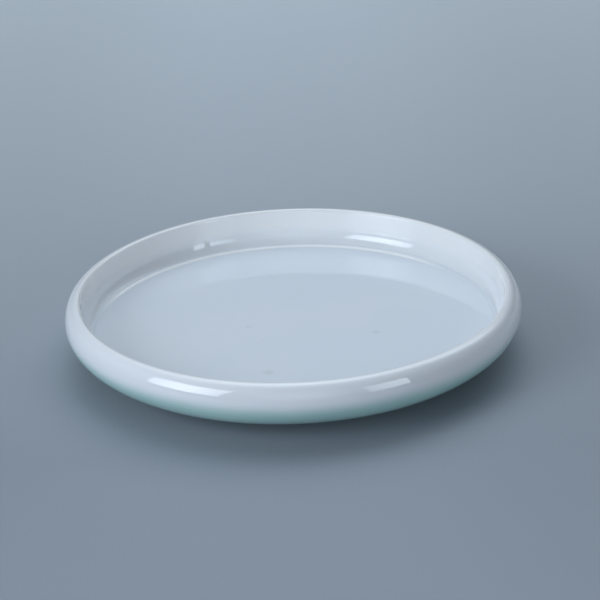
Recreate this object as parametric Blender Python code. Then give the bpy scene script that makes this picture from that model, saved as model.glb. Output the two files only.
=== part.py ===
"""A shallow round glazed dish: a white body, a mint underside lapped into it, and a bare foot ring.

Metres, +Z up. The origin is on the dish's axis, on the surface that the foot ring stands on.
Each piece is a closed outline in the (radius, height) plane, turned round the Z axis.
"""

import math

import bmesh
import bpy

# Driving dimensions, in metres.
OUTER_RADIUS = 0.100  # at the widest line, the equator of the rim
FOOT_HEIGHT = 0.0060  # from the table to the flat underside
BELLY_WIDTH = 0.0216  # the belly's quarter ellipse, from the underside out to the equator
BELLY_HEIGHT = 0.01435
SHOULDER_HEIGHT = 0.00875  # from the equator up to the crest of the rim
BORE_RADIUS = 0.0928  # the upright inner wall
LIP_ROUNDING = 0.0014  # where the crest turns down into the inner wall

FLOOR_DEPTH = 0.0163  # from the crest down to the flat floor
STEP_START = 0.0873  # where the flat floor ends in a low rounded step
STEP_WIDTH = 0.0011
STEP_HEIGHT = 0.00040
LEDGE_WIDTH = 0.0005  # level, on top of the step
COVE_ROUNDING = 0.0014  # between the ledge and the wall
WALL_LEAN = 40  # the wall's angle from level where it rises out of that cove, in degrees

SEAM_DROP = 0.0020  # the two glazes meet this far below the equator
SHELL_THICKNESS = 0.0020  # of the mint underside
CLEARANCE = 0.0003  # kept between pieces that meet

RING_OUTER = 0.0660  # the foot ring, where it meets the underside
RING_INNER = 0.0600
RING_TAPER = 0.0010  # each side of the ring leans in by this much on its way down
RING_ROUNDING = 0.0006  # of the two edges that meet the table
GROOVE_DEPTH = 0.0009  # the seat that the underside gives the ring

STEPS_ROUND = 72
SHARP_ANGLE = math.radians(40)

EQUATOR = FOOT_HEIGHT + BELLY_HEIGHT
CREST = EQUATOR + SHOULDER_HEIGHT
FLOOR = CREST - FLOOR_DEPTH
BELLY_CENTRE = OUTER_RADIUS - BELLY_WIDTH


def arc(centre, semi_axes, start, end, steps):
    """Points (radius, height) along part of an ellipse, with its ends in degrees."""
    angles = [math.radians(start + (end - start) * i / steps) for i in range(steps + 1)]
    return [
        (centre[0] + semi_axes[0] * math.cos(a), centre[1] + semi_axes[1] * math.sin(a))
        for a in angles
    ]


def belly(inset, drop, steps):
    """The belly's curve moved inwards by inset, from drop below the equator down to the flat underside."""
    semi_axes = (BELLY_WIDTH - inset, BELLY_HEIGHT - inset)
    start = -math.degrees(math.asin(drop / semi_axes[1]))
    return arc((BELLY_CENTRE, EQUATOR), semi_axes, start, -90, steps)


def floor_step(steps):
    """The half wave that rises from the flat floor to the ledge."""
    return [
        (
            STEP_START + STEP_WIDTH * i / steps,
            FLOOR + STEP_HEIGHT * (1 - math.cos(math.pi * i / steps)) / 2,
        )
        for i in range(steps + 1)
    ]


def inner_wall():
    """The low step round the floor, its ledge, the small cove and the wall's hollow curve up to the bore."""
    lean = math.radians(WALL_LEAN)
    cove_centre = (STEP_START + STEP_WIDTH + LEDGE_WIDTH, FLOOR + STEP_HEIGHT + COVE_ROUNDING)
    wall_foot = (
        cove_centre[0] + COVE_ROUNDING * math.sin(lean),
        cove_centre[1] - COVE_ROUNDING * math.cos(lean),
    )
    wall_curve = (BORE_RADIUS - wall_foot[0]) / (1 - math.sin(lean))
    wall_centre = (BORE_RADIUS - wall_curve, wall_foot[1] + wall_curve * math.cos(lean))
    foot_angle = WALL_LEAN - 90
    return [
        *floor_step(5),
        *arc(cove_centre, (COVE_ROUNDING, COVE_ROUNDING), -90, foot_angle, 3),
        *arc(wall_centre, (wall_curve, wall_curve), foot_angle, 0, 5)[1:],
    ]


def body_outline():
    """From the floor's centre out over the rim, down to the rebate and back under the floor."""
    crest_radius = BORE_RADIUS + LIP_ROUNDING
    tuck = SHELL_THICKNESS + CLEARANCE
    seam_angle = -math.degrees(math.asin(SEAM_DROP / BELLY_HEIGHT))
    lip_centre = (crest_radius, CREST - LIP_ROUNDING)
    rim_centre = (crest_radius, EQUATOR)
    return [
        (0, FLOOR),
        *inner_wall(),
        *arc(lip_centre, (LIP_ROUNDING, LIP_ROUNDING), 180, 90, 4),
        *arc(rim_centre, (OUTER_RADIUS - crest_radius, SHOULDER_HEIGHT), 90, 0, 7)[1:],
        *arc((BELLY_CENTRE, EQUATOR), (BELLY_WIDTH, BELLY_HEIGHT), 0, seam_angle, 2)[1:],
        *belly(tuck, SEAM_DROP, 6),
        (0, EQUATOR - BELLY_HEIGHT + tuck),
    ]


def shell_outline():
    """From the centre of the inner face out and up to the lap under the rim, then down round the belly."""
    edge_drop = SEAM_DROP + CLEARANCE
    return [
        (0, FOOT_HEIGHT + SHELL_THICKNESS),
        *reversed(belly(SHELL_THICKNESS, edge_drop, 6)),
        *belly(0, edge_drop, 9),
        *groove(),
        (0, FOOT_HEIGHT),
    ]


def groove():
    """The shallow seat in the underside that the foot ring's top stands in."""
    top = FOOT_HEIGHT + GROOVE_DEPTH
    outer = RING_OUTER + CLEARANCE
    inner = RING_INNER - CLEARANCE
    return [(outer, FOOT_HEIGHT), (outer, top), (inner, top), (inner, FOOT_HEIGHT)]


def ring_outline():
    """The foot ring: upright in its seat, tapered below it, with rounded standing edges."""
    top = FOOT_HEIGHT + GROOVE_DEPTH - CLEARANCE
    rounding = (RING_ROUNDING, RING_ROUNDING)
    outer_edge = (RING_OUTER - RING_TAPER - RING_ROUNDING, RING_ROUNDING)
    inner_edge = (RING_INNER + RING_TAPER + RING_ROUNDING, RING_ROUNDING)
    return [
        (RING_INNER, top),
        (RING_OUTER, top),
        (RING_OUTER, FOOT_HEIGHT),
        *arc(outer_edge, rounding, 0, -90, 3),
        *arc(inner_edge, rounding, -90, -180, 3),
        (RING_INNER, FOOT_HEIGHT),
    ]


def glazed_material(name, colour, roughness):
    material = bpy.data.materials.new(name)
    material.use_nodes = True
    shader = material.node_tree.nodes["Principled BSDF"]
    shader.inputs["Base Color"].default_value = (*colour, 1)
    shader.inputs["Roughness"].default_value = roughness
    shader.inputs["Metallic"].default_value = 0
    return material


def turned(name, outline, material):
    """One closed solid: the outline, spun once round Z. An outline that ends on the axis closes there."""
    shape = bmesh.new()
    points = [shape.verts.new((radius, 0, height)) for radius, height in outline]
    edges = [shape.edges.new(pair) for pair in zip(points, points[1:])]
    if outline[-1][0] > 0:
        edges.append(shape.edges.new((points[-1], points[0])))
    bmesh.ops.spin(
        shape, geom=points + edges, axis=(0, 0, 1), cent=(0, 0, 0),
        angle=2 * math.pi, steps=STEPS_ROUND, use_merge=True,
    )
    bmesh.ops.remove_doubles(shape, verts=shape.verts, dist=1e-6)
    bmesh.ops.recalc_face_normals(shape, faces=shape.faces)
    mesh = bpy.data.meshes.new(name)
    shape.to_mesh(mesh)
    shape.free()
    mesh.shade_smooth()
    mesh.set_sharp_from_angle(angle=SHARP_ANGLE)
    mesh.materials.append(material)
    piece = bpy.data.objects.new(name, mesh)
    bpy.context.scene.collection.objects.link(piece)
    return piece


def clear_scene():
    for leftover in list(bpy.data.objects):
        bpy.data.objects.remove(leftover)


def main():
    clear_scene()
    white = glazed_material("white_glaze", (0.78, 0.79, 0.82), 0.08)
    mint = glazed_material("mint_glaze", (0.46, 0.66, 0.62), 0.08)
    biscuit = glazed_material("bare_biscuit", (0.66, 0.62, 0.56), 0.75)
    turned("dish_body", body_outline(), white)
    turned("underside_shell", shell_outline(), mint)
    turned("foot_ring", ring_outline(), biscuit)


main()
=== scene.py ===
"""The looks of the shallow glazed dish: fine turned meshes, glazes and bare clay, light and camera."""

import math

import bmesh
import bpy
from mathutils import Matrix, Vector


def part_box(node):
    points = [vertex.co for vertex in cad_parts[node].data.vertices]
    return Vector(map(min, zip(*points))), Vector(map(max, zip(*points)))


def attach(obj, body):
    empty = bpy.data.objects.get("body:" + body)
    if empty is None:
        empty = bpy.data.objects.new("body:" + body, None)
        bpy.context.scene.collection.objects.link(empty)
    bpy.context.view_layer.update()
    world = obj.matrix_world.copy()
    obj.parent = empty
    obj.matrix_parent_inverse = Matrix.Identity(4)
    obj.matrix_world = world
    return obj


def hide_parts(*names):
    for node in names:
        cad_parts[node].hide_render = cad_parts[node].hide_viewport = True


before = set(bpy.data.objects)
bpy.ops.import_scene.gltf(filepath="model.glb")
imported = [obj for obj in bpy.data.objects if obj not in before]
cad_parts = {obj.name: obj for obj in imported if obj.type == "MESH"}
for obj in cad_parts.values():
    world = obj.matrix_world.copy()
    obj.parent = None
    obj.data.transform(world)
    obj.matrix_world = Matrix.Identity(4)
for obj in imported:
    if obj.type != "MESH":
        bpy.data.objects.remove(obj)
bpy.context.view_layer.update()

# The frame's own sizes, in metres. The dish is turned round the Z axis.
_, BODY_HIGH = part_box("dish_body")
SHELL_LOW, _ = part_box("underside_shell")
_, RING_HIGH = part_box("foot_ring")
OUTER_RADIUS = BODY_HIGH.x
CREST = BODY_HIGH.z
UNDERSIDE = SHELL_LOW.z
RING_OUTER = RING_HIGH.x

# The rest of the turned outline, as the CAD model has it.
SHOULDER_HEIGHT = 0.00875
BELLY_WIDTH = 0.0216
BORE_RADIUS = 0.0928
LIP_ROUNDING = 0.0014
FLOOR_DEPTH = 0.0163
STEP_START = 0.0873  # where the flat floor ends in a low rounded step
STEP_WIDTH = 0.0011
STEP_HEIGHT = 0.00040
LEDGE_WIDTH = 0.0005  # level, on top of the step
COVE_ROUNDING = 0.0014  # between the ledge and the wall
WALL_LEAN = 40  # the wall's angle from level where it rises out of that cove, in degrees
SEAM_DROP = 0.0020
SHELL_THICKNESS = 0.0020
RING_WIDTH = 0.0060
RING_TAPER = 0.0010
RING_ROUNDING = 0.0006

EQUATOR = CREST - SHOULDER_HEIGHT
BELLY_HEIGHT = EQUATOR - UNDERSIDE
BELLY_CENTRE = OUTER_RADIUS - BELLY_WIDTH
FLOOR = CREST - FLOOR_DEPTH
JOINT_DROP = BELLY_HEIGHT - SHELL_THICKNESS  # from the equator to where the two bodies meet inside

# Details that only the visible meshes have.
STEPS_ROUND = 288
SHARP_ANGLE = math.radians(40)
SEAM_GUARD = 0.00004  # a ring of points this close to the seam keeps the gloss unbroken across it
ROLL_WIDTH = 0.0007  # half the width of the glaze's rolled edge at the bare ring
ROLL_THICKNESS = 0.00025
ROLL_GAP = 0.0001  # from the rolled edge to the ring
ROLL_APPROACH = 0.004  # how far away the underside begins to reach towards the rolled edge
RING_SEAT = 0.0002  # how far the bare ring reaches up into the glaze

# The mint glaze fades into the white one over this band, measured from the equator.
FADE_TOP = 0.0021
FADE_BOTTOM = -0.0049
FADE_WANDER = 0.0006

# How the glaze lies, in metres. A pair of heights or distances is where a fade starts and where it ends.
INSIDE_RADIUS = BORE_RADIUS + 0.0002  # nothing of the inner wall lies farther out
INSIDE_BASE = FLOOR - 0.0004  # and nothing of the inside lies lower
MINT_RADIUS = BORE_RADIUS + 0.002  # above that base, all the mint lies outside this radius
# Painted shade: the heights over which the white is painted bluer and darker on the floor and at the foot
# of the wall.
PAINTED_SHADE_ON_FLOOR = (FLOOR + 0.0003, FLOOR + 0.0012)
PAINTED_SHADE_ON_WALL = (FLOOR + 0.003, FLOOR + 0.010)
STEP_LINE = (0.0009, 0.0016)  # away from the middle of the step
STEP_HIGHLIGHT_SIDE = (-0.20, 0.98)  # the side of the dish, as X and Y, where the painted highlight on the step's line is clear
STEP_HIGHLIGHT_TURN = (0.42, 0.68)  # cosines of the angle from that side at which the painted highlight is faint and clear
# Heights at the top of the crest that are painted paler: partly thin glaze, partly painted highlight.
CREST_HIGHLIGHT_LINE = (CREST - 0.0009, CREST - 0.0001)
GLAZE_IOR = 1.68
GLAZE_ROUGHNESS = (0.008, 0.02)  # the least and the most

# Colours, in linear light.
# One white glaze, painted lighter inside as painted light and darker outside as painted shade.
WHITE_INSIDE_PAINTED_LIGHT = (0.93, 0.92, 0.915, 1)
# Painted shade: a bluer, darker white for the floor and the foot of the wall.
WHITE_PAINTED_SHADE = (0.768, 0.83, 0.888, 1)
WHITE_OUTSIDE_PAINTED_SHADE = (0.81, 0.825, 0.85, 1)
# Paler white along the step and the crest: partly glaze run thin, partly painted highlight.
WHITE_BREAK_AND_HIGHLIGHT = (0.98, 1.0, 1.0, 1)
MINT = (0.47, 0.68, 0.64, 1)
MINT_DEEP = (0.39, 0.60, 0.58, 1)
DIRT = (0.16, 0.15, 0.14, 1)
CLAY = (0.68, 0.62, 0.53, 1)
CLAY_DARK = (0.58, 0.51, 0.42, 1)
CLAY_GRIT = (0.22, 0.16, 0.11, 1)
CLAY_WORN = (0.42, 0.40, 0.37, 1)
# The sweep's painted light falloff: painted shade near the camera, painted light at the back, and painted
# shade at its sides.
SWEEP_NEAR_PAINTED_SHADE = (0.274, 0.310, 0.355, 1)
SWEEP_FAR_PAINTED_LIGHT = (0.705, 0.770, 0.815, 1)
SWEEP_SIDES_PAINTED_SHADE = (0.03, 0.035, 0.04, 1)
SWEEP_MOTTLE = (0.45, 0.50, 0.55, 1)
DUST = (0.62, 0.64, 0.66, 1)

# Flaws that can be seen in the glaze: a place, a radius and a strength.
SMUDGES = [
    ((-0.0114, -0.0492, FLOOR), 0.0034, 0.12),
    ((-0.0200, -0.0015, FLOOR), 0.0024, 0.07),
    ((0.0357, -0.0121, FLOOR), 0.0024, 0.11),
    ((0.0354, 0.0850, CREST), 0.0007, 0.55),
]
LUMP = (-0.0411, 0.0819, FLOOR + 0.0042)  # a low lump in the glaze of the back wall
LUMP_RADIUS = 0.0050
LUMP_HEIGHT = 0.00021

# The camera, as it stands in front of the dish.
VIEW_ELEVATION = 23.86
VIEW_ROLL = -2.26
VIEW_DISTANCE = 1.2
LENS = 164.28
SENSOR = 36.0
CLIP_END = 50
AIM = Vector((0.00316, 0.0, EQUATOR + 0.00364))

# The light: its tint, and the glows of the room as (bearing, elevation, sharpness, strength).
# A bearing is in degrees from the camera's side, positive to the right.
COOL = (0.80, 0.895, 1.0)
GLOWS = [
    (5, 20, 12, 1.12),
    (180, 30, 20, 0.40),
    (180, 66, 12, 2.55),
    (138, 42, 28, 2.1),
    (-90, 20, 4, 0.62),
]
BOX_DISTANCE = 1.2

# The sweep, in metres.
SWEEP_REACH = 6.0  # from the dish to each edge
SWEEP_PAINTED_FALLOFF_BAND = (-0.10, 0.55)  # along Y, where the painted shade near the camera ends and the painted light at the back starts
SWEEP_SIDE_SHADE_BAND = (0.03, 0.15)  # the same for the painted shade to the left and the right


# ---------------------------------------------------------------- turned shapes

def arc(centre, semi_axes, start, end, steps):
    """Points (radius, height) along part of an ellipse, with its ends in degrees."""
    angles = [math.radians(start + (end - start) * i / steps) for i in range(steps + 1)]
    return [
        (centre[0] + semi_axes[0] * math.cos(a), centre[1] + semi_axes[1] * math.sin(a))
        for a in angles
    ]


def run(start, end, steps):
    """Points along a straight line, without its first one."""
    return [
        tuple(a + (b - a) * i / steps for a, b in zip(start, end))
        for i in range(1, steps + 1)
    ]


def belly(inset, from_drop, to_drop, steps):
    """The belly's curve moved inwards by inset, between two drops below the equator."""
    semi_axes = (BELLY_WIDTH - inset, BELLY_HEIGHT - inset)
    ends = [-math.degrees(math.asin(drop / semi_axes[1])) for drop in (from_drop, to_drop)]
    return arc((BELLY_CENTRE, EQUATOR), semi_axes, *ends, steps)


def floor_step(steps):
    """The half wave that rises from the flat floor to the ledge."""
    return [
        (
            STEP_START + STEP_WIDTH * i / steps,
            FLOOR + STEP_HEIGHT * (1 - math.cos(math.pi * i / steps)) / 2,
        )
        for i in range(steps + 1)
    ]


def inner_wall():
    """The low step round the floor, its ledge, the cove and the wall's hollow curve up to the bore."""
    lean = math.radians(WALL_LEAN)
    cove_centre = (STEP_START + STEP_WIDTH + LEDGE_WIDTH, FLOOR + STEP_HEIGHT + COVE_ROUNDING)
    wall_foot = (
        cove_centre[0] + COVE_ROUNDING * math.sin(lean),
        cove_centre[1] - COVE_ROUNDING * math.cos(lean),
    )
    wall_curve = (BORE_RADIUS - wall_foot[0]) / (1 - math.sin(lean))
    wall_centre = (BORE_RADIUS - wall_curve, wall_foot[1] + wall_curve * math.cos(lean))
    foot_angle = WALL_LEAN - 90
    return [
        *floor_step(steps=14),
        *arc(cove_centre, (COVE_ROUNDING, COVE_ROUNDING), -90, foot_angle, steps=8),
        *arc(wall_centre, (wall_curve, wall_curve), foot_angle, 0, steps=28)[1:],
    ]


def body_outline():
    """Floor, wall, lip, shoulder and the joint face, then back under the floor."""
    crest_radius = BORE_RADIUS + LIP_ROUNDING
    wall = inner_wall()
    lip_centre = (crest_radius, CREST - LIP_ROUNDING)
    rim = (OUTER_RADIUS - crest_radius, SHOULDER_HEIGHT)
    outline = [(0, FLOOR), *run((0, FLOOR), wall[0], steps=12), *wall[1:]]
    outline += run(outline[-1], (BORE_RADIUS, lip_centre[1]), steps=6)
    outline += arc(lip_centre, (LIP_ROUNDING, LIP_ROUNDING), 180, 90, steps=14)[1:]
    outline += arc((crest_radius, EQUATOR), rim, 90, 0, steps=40)[1:]
    outline += belly(0, 0, SEAM_DROP - SEAM_GUARD, steps=6)[1:]
    outline += belly(0, SEAM_DROP - SEAM_GUARD, SEAM_DROP, steps=1)[1:]
    outline += belly(SHELL_THICKNESS, SEAM_DROP, JOINT_DROP, steps=10)
    outline.append((0, EQUATOR - JOINT_DROP))
    return outline


def shell_outline():
    """The mint layer: its inner face, the seam, the belly, the underside and its lips of glaze."""
    outline = [(0, EQUATOR - JOINT_DROP)]
    outline += reversed(belly(SHELL_THICKNESS, SEAM_DROP, JOINT_DROP, steps=10))
    outline += belly(0, SEAM_DROP, SEAM_DROP + SEAM_GUARD, steps=1)
    outline += belly(0, SEAM_DROP + SEAM_GUARD, BELLY_HEIGHT, steps=40)[1:]
    outline += glaze_roll(RING_OUTER, 1)
    outline += reversed(glaze_roll(RING_OUTER - RING_WIDTH, -1))
    outline.append((0, UNDERSIDE))
    return outline


def glaze_roll(ring_radius, side):
    """The small rounded edge where the glaze stops against the bare ring, walked towards the ring."""
    middle = ring_radius + side * (ROLL_WIDTH + ROLL_GAP)
    turn = (0, -180) if side > 0 else (180, 360)
    return [
        (middle + side * ROLL_APPROACH, UNDERSIDE),
        *arc((middle, UNDERSIDE), (ROLL_WIDTH, ROLL_THICKNESS), *turn, steps=8),
    ]


def ring_outline():
    """The foot ring, tapered, with rounded standing edges."""
    top = UNDERSIDE + RING_SEAT
    inner = RING_OUTER - RING_WIDTH
    rounding = (RING_ROUNDING, RING_ROUNDING)
    outer_edge = (RING_OUTER - RING_TAPER - RING_ROUNDING, RING_ROUNDING)
    inner_edge = (inner + RING_TAPER + RING_ROUNDING, RING_ROUNDING)
    outline = [(inner, top), *run((inner, top), (RING_OUTER, top), steps=4)]
    outline += run((RING_OUTER, top), (RING_OUTER - RING_TAPER, RING_ROUNDING), steps=6)
    outline += arc(outer_edge, rounding, 0, -90, steps=8)[1:]
    outline += run(outline[-1], (inner_edge[0], 0), steps=3)
    outline += arc(inner_edge, rounding, -90, -180, steps=8)[1:]
    outline += run(outline[-1], (inner, top), steps=6)[:-1]
    return outline


def turned(name, outline, material):
    """One closed mesh: the outline, spun once round Z. An outline that ends on the axis closes there."""
    shape = bmesh.new()
    points = [shape.verts.new((radius, 0, height)) for radius, height in outline]
    edges = [shape.edges.new(pair) for pair in zip(points, points[1:])]
    if outline[-1][0] > 0:
        edges.append(shape.edges.new((points[-1], points[0])))
    bmesh.ops.spin(
        shape, geom=points + edges, axis=(0, 0, 1), cent=(0, 0, 0),
        angle=2 * math.pi, steps=STEPS_ROUND, use_merge=True,
    )
    bmesh.ops.remove_doubles(shape, verts=shape.verts, dist=1e-6)
    bmesh.ops.recalc_face_normals(shape, faces=shape.faces)
    mesh = bpy.data.meshes.new(name)
    shape.to_mesh(mesh)
    shape.free()
    mesh.shade_smooth()
    mesh.set_sharp_from_angle(angle=SHARP_ANGLE)
    return placed(name, mesh, material)


def placed(name, mesh, material):
    mesh.materials.append(material)
    made = bpy.data.objects.new(name, mesh)
    bpy.context.scene.collection.objects.link(made)
    return made


# ---------------------------------------------------------------- node trees

class Nodes:
    """A node tree, with one short call for each node."""

    def __init__(self, tree):
        self.tree = tree

    def add(self, kind, **settings):
        made = self.tree.nodes.new(kind)
        for name, value in settings.items():
            setattr(made, name, value)
        return made

    def feed(self, socket, value):
        if isinstance(value, bpy.types.NodeSocket):
            self.tree.links.new(value, socket)
        else:
            socket.default_value = value

    def maths(self, operation, *values):
        made = self.add("ShaderNodeMath", operation=operation)
        for socket, value in zip(made.inputs, values):
            self.feed(socket, value)
        return made.outputs["Value"]

    def ramp(self, value, low, high, to_low=0.0, to_high=1.0, smooth=True):
        """value mapped from low..high to to_low..to_high, and held at the ends."""
        made = self.add("ShaderNodeMapRange")
        made.interpolation_type = "SMOOTHSTEP" if smooth else "LINEAR"
        for name, number in zip(
            ("Value", "From Min", "From Max", "To Min", "To Max"),
            (value, low, high, to_low, to_high),
        ):
            self.feed(made.inputs[name], number)
        return made.outputs["Result"]

    def blend(self, amount, first, second):
        made = self.add("ShaderNodeMix", data_type="RGBA")
        self.feed(made.inputs["Factor"], amount)
        self.feed(made.inputs["A"], first)
        self.feed(made.inputs["B"], second)
        return made.outputs["Result"]


class MaterialNodes(Nodes):
    """The node tree of a new material. Its patterns lie in the piece's own coordinates."""

    def __init__(self, name):
        self.material = bpy.data.materials.new(name)
        self.material.use_nodes = True
        super().__init__(self.material.node_tree)
        self.shader = self.tree.nodes["Principled BSDF"]
        self.place = self.add("ShaderNodeTexCoord").outputs["Object"]

    def noise(self, size, detail=2.0, roughness=0.5):
        """Cloudy noise, 0 to 1, whose blotches are about size metres across."""
        made = self.add("ShaderNodeTexNoise")
        self.feed(made.inputs["Vector"], self.place)
        self.feed(made.inputs["Scale"], 1 / size)
        self.feed(made.inputs["Detail"], detail)
        self.feed(made.inputs["Roughness"], roughness)
        return made.outputs["Fac"]

    def specks(self, spacing, radius, share):
        """1 at the middle of a speck and 0 outside. This share of the cells, each spacing wide, has one."""
        made = self.add("ShaderNodeTexVoronoi")
        self.feed(made.inputs["Vector"], self.place)
        self.feed(made.inputs["Scale"], 1 / spacing)
        size = radius / spacing
        spot = self.ramp(made.outputs["Distance"], 0.4 * size, size, 1.0, 0.0)
        chosen = self.add("ShaderNodeSeparateColor")
        self.feed(chosen.inputs["Color"], made.outputs["Color"])
        kept = self.maths("LESS_THAN", chosen.outputs["Red"], share)
        return self.maths("MULTIPLY", spot, kept)

    def spot(self, place, radius):
        """1 at this place and 0 from radius outwards."""
        made = self.add("ShaderNodeVectorMath", operation="DISTANCE")
        self.feed(made.inputs[0], self.place)
        self.feed(made.inputs[1], place)
        return self.ramp(made.outputs["Value"], 0.2 * radius, radius, 1.0, 0.0)

    def axes(self):
        made = self.add("ShaderNodeSeparateXYZ")
        self.feed(made.inputs["Vector"], self.place)
        return made.outputs["X"], made.outputs["Y"], made.outputs["Z"]

    def distance_from_axis(self):
        x, y, _ = self.axes()
        squares = [self.maths("MULTIPLY", along, along) for along in (x, y)]
        return self.maths("SQRT", self.maths("ADD", *squares))

    def surface(self, colour, roughness):
        self.feed(self.shader.inputs["Base Color"], colour)
        self.feed(self.shader.inputs["Roughness"], roughness)

    def bump(self, *layers):
        """Bumps on bumps: each layer is (height pattern, depth in metres)."""
        below = None
        for pattern, depth in layers:
            made = self.add("ShaderNodeBump")
            made.inputs["Distance"].default_value = depth
            self.feed(made.inputs["Height"], pattern)
            if below is not None:
                self.feed(made.inputs["Normal"], below)
            below = made.outputs["Normal"]
        self.feed(self.shader.inputs["Normal"], below)


# ---------------------------------------------------------------- materials

def glaze(name):
    """The two-colour glaze: white on top, mint below, and one soft fade that both pieces share."""
    nodes = MaterialNodes(name)
    _, _, height = nodes.axes()
    radius = nodes.distance_from_axis()
    cloud = nodes.noise(size=0.045, detail=3.0)
    white = white_glaze(nodes, radius, height, cloud)
    mint = nodes.blend(nodes.ramp(cloud, 0.25, 0.8), MINT, MINT_DEEP)
    colour = nodes.blend(mint_share(nodes, radius, height), white, mint)
    colour = nodes.blend(dirt(nodes), colour, DIRT)
    waves = nodes.noise(size=0.0045, detail=3.0)
    nodes.surface(colour, roughness=nodes.ramp(waves, 0.3, 0.8, *GLAZE_ROUGHNESS))
    shader = nodes.shader.inputs
    shader["IOR"].default_value = GLAZE_IOR
    shader["Subsurface Weight"].default_value = 0.12
    shader["Subsurface Radius"].default_value = (1.0, 0.9, 0.8)
    shader["Subsurface Scale"].default_value = 0.0025
    nodes.bump(
        (nodes.noise(size=0.020, detail=1.0), 0.00002),
        (nodes.noise(size=0.0022), 0.000001),
        (nodes.spot(LUMP, LUMP_RADIUS), LUMP_HEIGHT),
    )
    return nodes.material


def mint_share(nodes, radius, height):
    """1 on the mint glaze and 0 on the white one. The line between them wanders a little."""
    wander = nodes.ramp(nodes.noise(size=0.03), 0, 1, -FADE_WANDER, FADE_WANDER, smooth=False)
    wandering = nodes.maths("ADD", height, wander)
    below_fade = nodes.ramp(wandering, EQUATOR + FADE_BOTTOM, EQUATOR + FADE_TOP, 1.0, 0.0)
    outside = nodes.maths("GREATER_THAN", radius, MINT_RADIUS)
    under_floor = nodes.maths("LESS_THAN", height, INSIDE_BASE)
    return nodes.maths("MULTIPLY", below_fade, nodes.maths("MAXIMUM", outside, under_floor))


def white_glaze(nodes, radius, height, cloud):
    """White, with painted shade that makes it bluer and darker on the floor and the foot of the wall,
    painted lighter inside than outside as painted light and shade, and paler along the step and the crest,
    partly where the glaze runs thin and partly as a painted highlight.
    """
    inside = nodes.maths("LESS_THAN", radius, INSIDE_RADIUS)
    # painted shade on the floor and at the foot of the wall, with a random mottle
    shade_on_floor = nodes.ramp(height, *PAINTED_SHADE_ON_FLOOR, 0.4, 0.0)
    shade_on_wall = nodes.ramp(height, *PAINTED_SHADE_ON_WALL, 0.45, 0.0)
    painted_shade_depth = nodes.maths("MULTIPLY", inside, nodes.maths("ADD", shade_on_floor, shade_on_wall))
    painted_shade_and_mottle = nodes.maths("MULTIPLY_ADD", painted_shade_depth, 0.95, nodes.ramp(cloud, 0.3, 0.75, 0.0, 0.15))
    # painted shade on the outside of the rim, against painted light inside
    painted_outside_shade = nodes.ramp(radius, BORE_RADIUS, BORE_RADIUS + 2 * LIP_ROUNDING)
    white = nodes.blend(painted_outside_shade, WHITE_INSIDE_PAINTED_LIGHT, WHITE_OUTSIDE_PAINTED_SHADE)
    white = nodes.blend(painted_shade_and_mottle, white, WHITE_PAINTED_SHADE)
    # paler along the step and the crest, partly thin glaze and partly painted highlight
    thin_glaze_and_highlight = nodes.maths("MAXIMUM", step_break_and_highlight(nodes, radius, height), crest_break_and_highlight(nodes, height))
    return nodes.blend(thin_glaze_and_highlight, white, WHITE_BREAK_AND_HIGHLIGHT)


def step_break_and_highlight(nodes, radius, height):
    """1 along the step round the floor, where the glaze runs thin and breaks to a paler white, and where a
    painted highlight lies.

    The painted highlight is clear at the back, and hardly there elsewhere.
    """
    away = nodes.maths("ABSOLUTE", nodes.maths("SUBTRACT", radius, STEP_START + STEP_WIDTH / 2))
    line = nodes.ramp(away, *STEP_LINE, 1.0, 0.0)
    on_top = nodes.maths("GREATER_THAN", height, INSIDE_BASE)
    x, y, _ = nodes.axes()
    to_x, to_y = STEP_HIGHLIGHT_SIDE
    to_back = nodes.maths("MULTIPLY_ADD", x, to_x, nodes.maths("MULTIPLY", y, to_y))
    # painted highlight: clear at the back of the dish, faint at its sides
    painted_highlight_side = nodes.ramp(nodes.maths("DIVIDE", to_back, radius), *STEP_HIGHLIGHT_TURN, 0.05, 1.0)
    return nodes.maths("MULTIPLY", nodes.maths("MULTIPLY", line, on_top), painted_highlight_side)


def crest_break_and_highlight(nodes, height):
    """The same along the crest of the rim, fainter: a paler top, partly glaze run thin and partly painted
    highlight.
    """
    return nodes.ramp(height, *CREST_HIGHLIGHT_LINE, 0.0, 0.2)


def dirt(nodes):
    """How much dirt shows: scattered specks and smudges, and the few marks with places of their own."""
    speck = nodes.maths("MULTIPLY", nodes.specks(spacing=0.022, radius=0.0004, share=0.16), 0.4)
    smudge = nodes.maths("MULTIPLY", nodes.specks(spacing=0.040, radius=0.0016, share=0.25), 0.05)
    total = nodes.maths("ADD", speck, smudge)
    for place, radius, strength in SMUDGES:
        total = nodes.maths("MULTIPLY_ADD", nodes.spot(place, radius), strength, total)
    return total


def bare_clay():
    """Unglazed biscuit: fine grain, small dark grits, and a greyer standing edge."""
    nodes = MaterialNodes("bare_biscuit")
    _, _, height = nodes.axes()
    grain = nodes.noise(size=0.0006, detail=4.0, roughness=0.7)
    clay = nodes.blend(nodes.noise(size=0.008, detail=4.0), CLAY, CLAY_DARK)
    grit = nodes.specks(spacing=0.0022, radius=0.0003, share=0.35)
    clay = nodes.blend(nodes.maths("MULTIPLY", grit, 0.5), clay, CLAY_GRIT)
    clay = nodes.blend(nodes.ramp(height, 0.0, 0.0012, 0.45, 0.0), clay, CLAY_WORN)
    nodes.surface(clay, roughness=nodes.ramp(grain, 0.2, 0.8, 0.62, 0.88))
    nodes.bump((grain, 0.00012), (nodes.noise(size=0.003), 0.0001))
    return nodes.material


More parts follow.
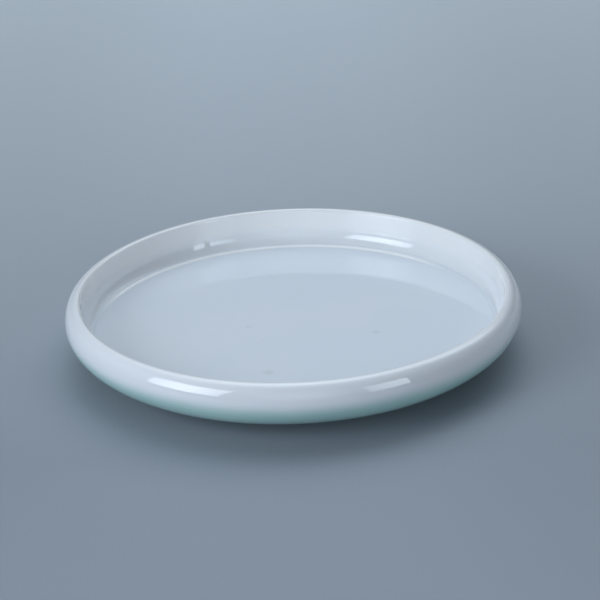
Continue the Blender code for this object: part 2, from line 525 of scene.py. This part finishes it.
def sweep_paper():
    """The blue-grey sweep, with painted light falloff, darker near the camera and paler to the back, and
    painted shade towards its sides; with a faint mottle, fine tooth and a little dust.
    """
    nodes = MaterialNodes("pale_sweep")
    across, along, _ = nodes.axes()
    # painted light falloff from the near to the far side of the sweep
    tone = nodes.blend(nodes.ramp(along, *SWEEP_PAINTED_FALLOFF_BAND, smooth=False), SWEEP_NEAR_PAINTED_SHADE, SWEEP_FAR_PAINTED_LIGHT)
    # painted shade towards the sweep's sides
    painted_side_shade = nodes.ramp(nodes.maths("ABSOLUTE", across), *SWEEP_SIDE_SHADE_BAND, 0.0, 0.09)
    tone = nodes.blend(painted_side_shade, tone, SWEEP_SIDES_PAINTED_SHADE)
    mottle = nodes.ramp(nodes.noise(size=0.35, detail=3.0), 0.2, 0.8, 0.0, 0.12)
    tone = nodes.blend(mottle, tone, SWEEP_MOTTLE)
    dust = nodes.maths("MULTIPLY", nodes.specks(spacing=0.03, radius=0.0006, share=0.12), 0.5)
    tone = nodes.blend(dust, tone, DUST)
    tooth = nodes.noise(size=0.0012, detail=3.0)
    nodes.surface(tone, roughness=nodes.ramp(tooth, 0.2, 0.8, 0.5, 0.62))
    nodes.bump((tooth, 0.00003), (nodes.noise(size=0.02), 0.0001))
    return nodes.material


# ---------------------------------------------------------------- the stage

def floor():
    half = SWEEP_REACH
    corners = [(-half, -half, 0), (half, -half, 0), (half, half, 0), (-half, half, 0)]
    mesh = bpy.data.meshes.new("sweep")
    mesh.from_pydata(corners, [], [(0, 1, 2, 3)])
    made = placed("sweep", mesh, sweep_paper())


def towards(bearing, elevation):
    """The direction from the dish at this bearing and elevation, in degrees."""
    bearing, elevation = math.radians(bearing), math.radians(elevation)
    return Vector((
        math.sin(bearing) * math.cos(elevation),
        -math.cos(bearing) * math.cos(elevation),
        math.sin(elevation),
    ))


def soft_box(name, bearing, elevation, width, height, radiance, glow):
    """A rectangular soft box facing the dish, with its width and height in degrees as seen from there.

    The glow is (place across the box, spread, gain): the lamp behind the cloth shows as a brighter
    band at that place.
    """
    lamp = bpy.data.lights.new(name, "AREA")
    lamp.shape = "RECTANGLE"
    lamp.size, lamp.size_y = (
        2 * BOX_DISTANCE * math.tan(math.radians(side / 2)) for side in (width, height)
    )
    lamp.energy = radiance * math.pi * lamp.size * lamp.size_y
    lamp.color = COOL
    hot_cloth(lamp, *glow)
    made = bpy.data.objects.new(name, lamp)
    bpy.context.scene.collection.objects.link(made)
    outwards = towards(bearing, elevation)
    made.location = Vector((0, 0, EQUATOR)) + outwards * BOX_DISTANCE
    made.rotation_euler = (-outwards).to_track_quat("-Z", "Y").to_euler()


def hot_cloth(lamp, place, spread, gain):
    """A brighter band at place, 0 to 1 across the box, which fades out over spread."""
    lamp.use_nodes = True
    nodes = Nodes(lamp.node_tree)
    across = nodes.add("ShaderNodeSeparateXYZ")
    nodes.feed(across.inputs["Vector"], nodes.add("ShaderNodeNewGeometry").outputs["Parametric"])
    away = nodes.maths("ABSOLUTE", nodes.maths("SUBTRACT", across.outputs["X"], place))
    emission = nodes.tree.nodes["Emission"]
    nodes.feed(emission.inputs["Strength"], nodes.ramp(away, 0, spread, 1 + gain, 1))


def lights():
    soft_box(
        "key_left", bearing=-54, elevation=22.5, width=37, height=31,
        radiance=2.75, glow=(0.50, 0.6, 0.95),
    )
    soft_box(
        "key_right", bearing=43.5, elevation=16.5, width=20.5, height=26,
        radiance=1.2, glow=(0.9, 1.2, 1.8),
    )


def studio_walls():
    """The room as soft glows, each brightest in one direction: white walls and bounced light overhead."""
    world = bpy.data.worlds.new("studio")
    world.use_nodes = True
    nodes = Nodes(world.node_tree)
    backdrop = nodes.tree.nodes["Background"]
    backdrop.inputs["Color"].default_value = (*COOL, 1)
    looking = nodes.add("ShaderNodeTexCoord").outputs["Generated"]
    total = 0.0
    for bearing, elevation, sharpness, strength in GLOWS:
        facing = nodes.add("ShaderNodeVectorMath", operation="DOT_PRODUCT")
        nodes.feed(facing.inputs[0], looking)
        nodes.feed(facing.inputs[1], towards(bearing, elevation))
        lit = nodes.maths("MAXIMUM", facing.outputs["Value"], 0.0)
        glow = nodes.maths("POWER", lit, sharpness)
        total = nodes.maths("MULTIPLY_ADD", glow, strength, total)
    nodes.feed(backdrop.inputs["Strength"], total)
    bpy.context.scene.world = world


def camera():
    elevation, roll = math.radians(VIEW_ELEVATION), math.radians(VIEW_ROLL)
    ahead = Vector((0, math.cos(elevation), -math.sin(elevation)))
    right = Vector((1, 0, 0))
    up = right.cross(ahead)
    turned_right = right * math.cos(roll) + up * math.sin(roll)
    turned_up = up * math.cos(roll) - right * math.sin(roll)
    turn = Matrix((turned_right, turned_up, -ahead)).transposed()
    made = bpy.data.objects.new("camera", bpy.data.cameras.new("camera"))
    bpy.context.scene.collection.objects.link(made)
    made.matrix_world = Matrix.Translation(AIM - ahead * VIEW_DISTANCE) @ turn.to_4x4()
    made.data.sensor_width = SENSOR
    made.data.lens = LENS
    made.data.clip_end = CLIP_END
    bpy.context.scene.camera = made
    bpy.context.scene.view_settings.view_transform = "Standard"


def dish():
    pieces = [
        ("white_glazed_dish", body_outline(), glaze("white_glaze"), "dish_body", "white_glaze"),
        ("mint_glazed_underside", shell_outline(), glaze("mint_glaze"), "underside_shell", "mint_glaze"),
        ("bare_foot_ring", ring_outline(), bare_clay(), "foot_ring", "bare_biscuit"),
    ]
    for name, outline, material, node, slot in pieces:
        piece = turned(name, outline, material)
        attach(piece, "root")
        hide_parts(node)


camera()
dish()
floor()
lights()
studio_walls()
